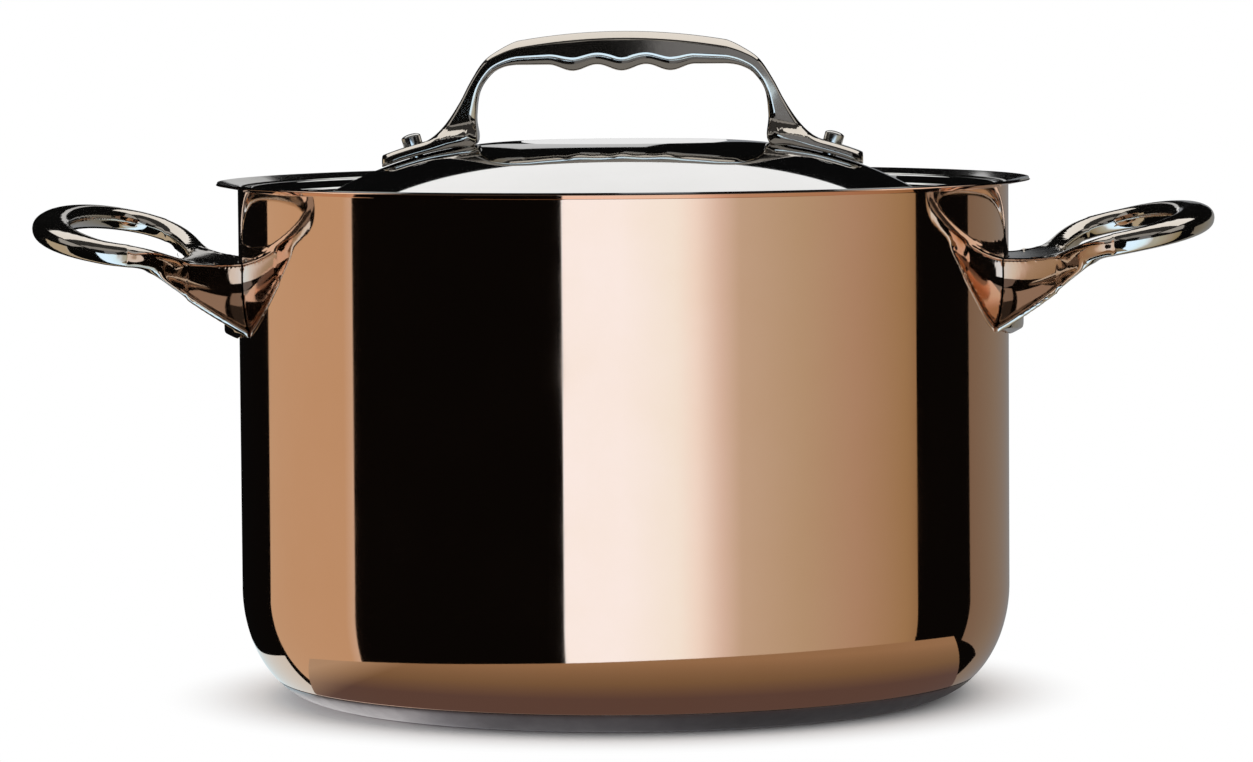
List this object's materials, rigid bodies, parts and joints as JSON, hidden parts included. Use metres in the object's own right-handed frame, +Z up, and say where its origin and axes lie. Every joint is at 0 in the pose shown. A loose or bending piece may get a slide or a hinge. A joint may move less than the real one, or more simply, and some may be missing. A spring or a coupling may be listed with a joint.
{
  "type": "casserole",
  "caption": "Round copper casserole with a steel lining, a steel plate under its base, cast loop side handles and a domed lid with an arched cast handle.",
  "frame": {"origin": "On the table under the middle of the pot: the centre of the underside of the base plate.", "axes": "+Z is up, along the pot's own axis. X runs through both side handles and along the lid handle. Y runs from front (-Y) to back."},
  "size_m": [0.3732, 0.2578, 0.2104],
  "materials": {
    "copper": "mirror-polished copper",
    "lining_steel": "satin stainless steel",
    "plate_steel": "satin magnetic stainless steel",
    "cast_steel": "polished cast stainless steel",
    "rivet_steel": "plain stainless steel",
    "lid_steel": "mirror-polished stainless steel"
  },
  "bodies": {
    "pot": {"copper_shell": "copper", "steel_lining": "lining_steel", "base_plate": "plate_steel", "left_handle": "cast_steel", "left_handle_rivet_front": "rivet_steel", "left_handle_rivet_rear": "rivet_steel", "right_handle": "cast_steel", "right_handle_rivet_front": "rivet_steel", "right_handle_rivet_rear": "rivet_steel"},
    "lid": {"lid_shell": "lid_steel", "lid_handle": "cast_steel", "lid_rivet_left": "rivet_steel", "lid_rivet_right": "rivet_steel"}
  },
  "joints": [
    {"name": "lid_lift", "type": "slide", "parent": "pot", "child": "lid", "axis": [0, 0, 1], "range_m": [0, 0.1]}
  ]
}
